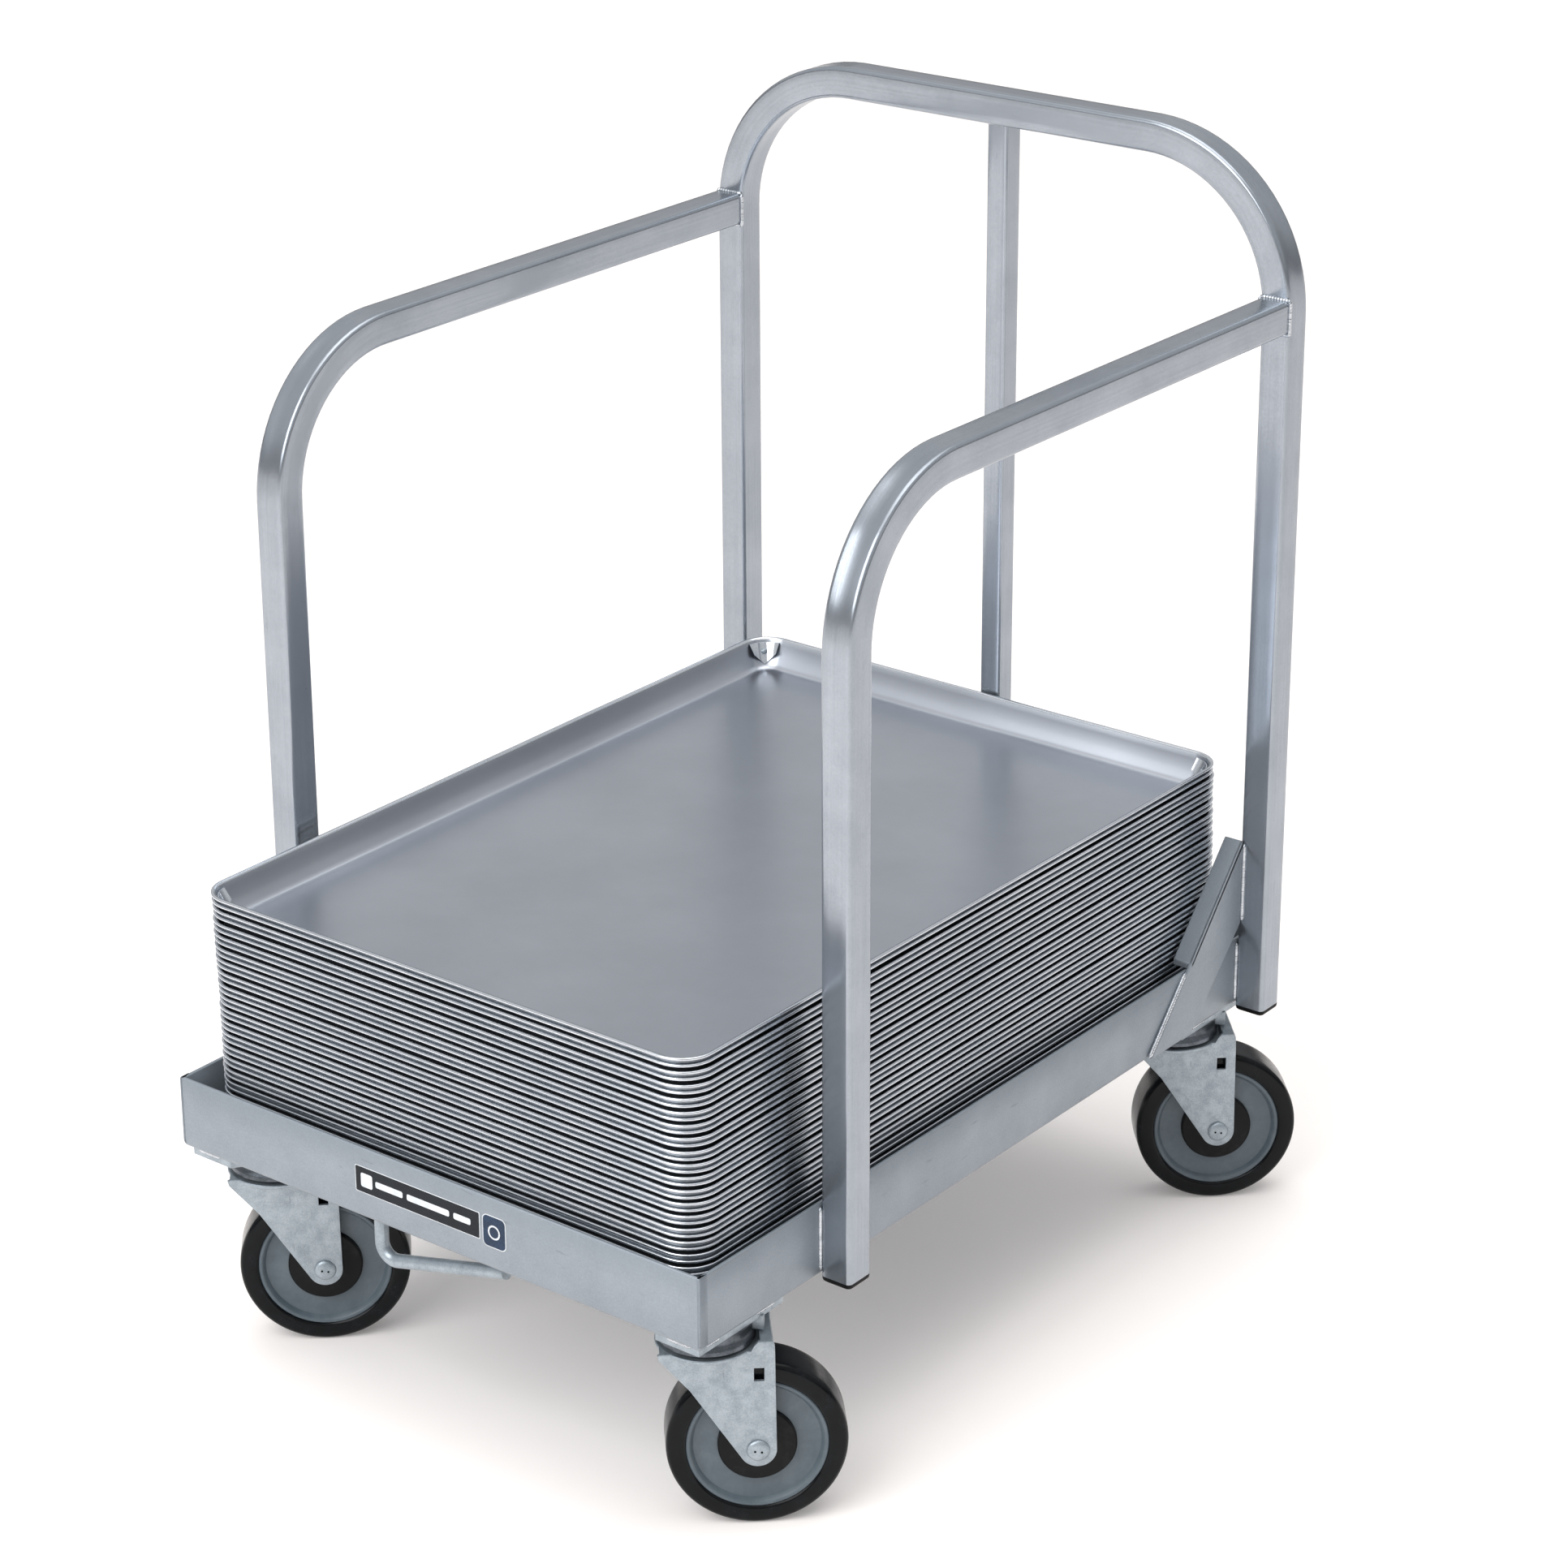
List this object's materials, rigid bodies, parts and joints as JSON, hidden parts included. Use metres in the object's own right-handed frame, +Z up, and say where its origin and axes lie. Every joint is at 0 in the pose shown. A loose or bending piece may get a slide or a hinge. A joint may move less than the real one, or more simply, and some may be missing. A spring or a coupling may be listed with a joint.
{
  "type": "sheet pan rack",
  "caption": "Low rolling rack for a nested stack of full-size sheet pans, with a bent-tube push handle, side rails and swivel casters.",
  "frame": {"origin": "on the floor, under the middle of the whole footprint at rest, turned casters included", "axes": "+Z up, +Y towards the push handle end, +X to the right as seen from the front curb"},
  "size_m": [0.5562, 0.7206, 0.8635],
  "materials": {
    "aluminium": "satin, lightly brushed",
    "pan_aluminium": "bright rolled sheet",
    "zinc_steel": "zinc plated, dull",
    "wheel_core": "moulded",
    "tyre": "smooth tread",
    "end_cap": "moulded"
  },
  "bodies": {
    "frame": {"curb_front": "aluminium", "curb_right": "aluminium", "curb_rear": "aluminium", "curb_left": "aluminium", "cross_bar_front": "aluminium", "cross_bar_rear": "aluminium", "handle_tube": "aluminium", "middle_post": "aluminium", "rail_left": "aluminium", "rail_right": "aluminium", "cap_rail_left": "end_cap", "cap_handle_left": "end_cap", "cap_rail_right": "end_cap", "cap_handle_right": "end_cap", "brace_right": "aluminium", "brace_left": "aluminium", "pull_loop": "aluminium", "caster_plate_front_left": "zinc_steel", "caster_plate_front_right": "zinc_steel", "caster_plate_rear_left": "zinc_steel", "caster_plate_rear_right": "zinc_steel"},
    "swivel_front_left": {"fork_front_left": "zinc_steel", "axle_front_left": "zinc_steel"},
    "wheel_front_left": {"wheel_core_front_left": "wheel_core", "tyre_front_left": "tyre"},
    "swivel_front_right": {"fork_front_right": "zinc_steel", "axle_front_right": "zinc_steel"},
    "wheel_front_right": {"wheel_core_front_right": "wheel_core", "tyre_front_right": "tyre"},
    "swivel_rear_left": {"fork_rear_left": "zinc_steel", "axle_rear_left": "zinc_steel"},
    "wheel_rear_left": {"wheel_core_rear_left": "wheel_core", "tyre_rear_left": "tyre"},
    "swivel_rear_right": {"fork_rear_right": "zinc_steel", "axle_rear_right": "zinc_steel"},
    "wheel_rear_right": {"wheel_core_rear_right": "wheel_core", "tyre_rear_right": "tyre"},
    "pan_stack": {"pan_01": "pan_aluminium", "pan_02": "pan_aluminium", "pan_03": "pan_aluminium", "pan_04": "pan_aluminium", "pan_05": "pan_aluminium", "pan_06": "pan_aluminium", "pan_07": "pan_aluminium", "pan_08": "pan_aluminium", "pan_09": "pan_aluminium", "pan_10": "pan_aluminium", "pan_11": "pan_aluminium", "pan_12": "pan_aluminium", "pan_13": "pan_aluminium", "pan_14": "pan_aluminium", "pan_15": "pan_aluminium", "pan_16": "pan_aluminium", "pan_17": "pan_aluminium", "pan_18": "pan_aluminium"},
    "pan_top": {"pan_19": "pan_aluminium"}
  },
  "joints": [
    {"name": "swivel_turn_front_left", "type": "hinge", "parent": "frame", "child": "swivel_front_left", "pos_m": [-0.21344, -0.30531, 0.141], "axis": [0, 0, 1], "continuous": true},
    {"name": "wheel_roll_front_left", "type": "hinge", "parent": "swivel_front_left", "child": "wheel_front_left", "pos_m": [-0.18854, -0.28289, 0.0635], "axis": [-0.6691, 0.7431, 0], "continuous": true},
    {"name": "swivel_turn_front_right", "type": "hinge", "parent": "frame", "child": "swivel_front_right", "pos_m": [0.19656, -0.30531, 0.141], "axis": [0, 0, 1], "continuous": true},
    {"name": "wheel_roll_front_right", "type": "hinge", "parent": "swivel_front_right", "child": "wheel_front_right", "pos_m": [0.22146, -0.28289, 0.0635], "axis": [-0.6691, 0.7431, 0], "continuous": true},
    {"name": "swivel_turn_rear_left", "type": "hinge", "parent": "frame", "child": "swivel_rear_left", "pos_m": [-0.21344, 0.28469, 0.141], "axis": [0, 0, 1], "continuous": true},
    {"name": "wheel_roll_rear_left", "type": "hinge", "parent": "swivel_rear_left", "child": "wheel_rear_left", "pos_m": [-0.18854, 0.30711, 0.0635], "axis": [-0.6691, 0.7431, 0], "continuous": true},
    {"name": "swivel_turn_rear_right", "type": "hinge", "parent": "frame", "child": "swivel_rear_right", "pos_m": [0.19656, 0.28469, 0.141], "axis": [0, 0, 1], "continuous": true},
    {"name": "wheel_roll_rear_right", "type": "hinge", "parent": "swivel_rear_right", "child": "wheel_rear_right", "pos_m": [0.22146, 0.30711, 0.0635], "axis": [-0.6691, 0.7431, 0], "continuous": true},
    {"name": "stack_lift", "type": "slide", "parent": "frame", "child": "pan_stack", "axis": [0, 0, 1], "range_m": [0, 0.25]},
    {"name": "top_pan_lift", "type": "slide", "parent": "pan_stack", "child": "pan_top", "axis": [0, 0, 1], "range_m": [0, 0.15]}
  ]
}
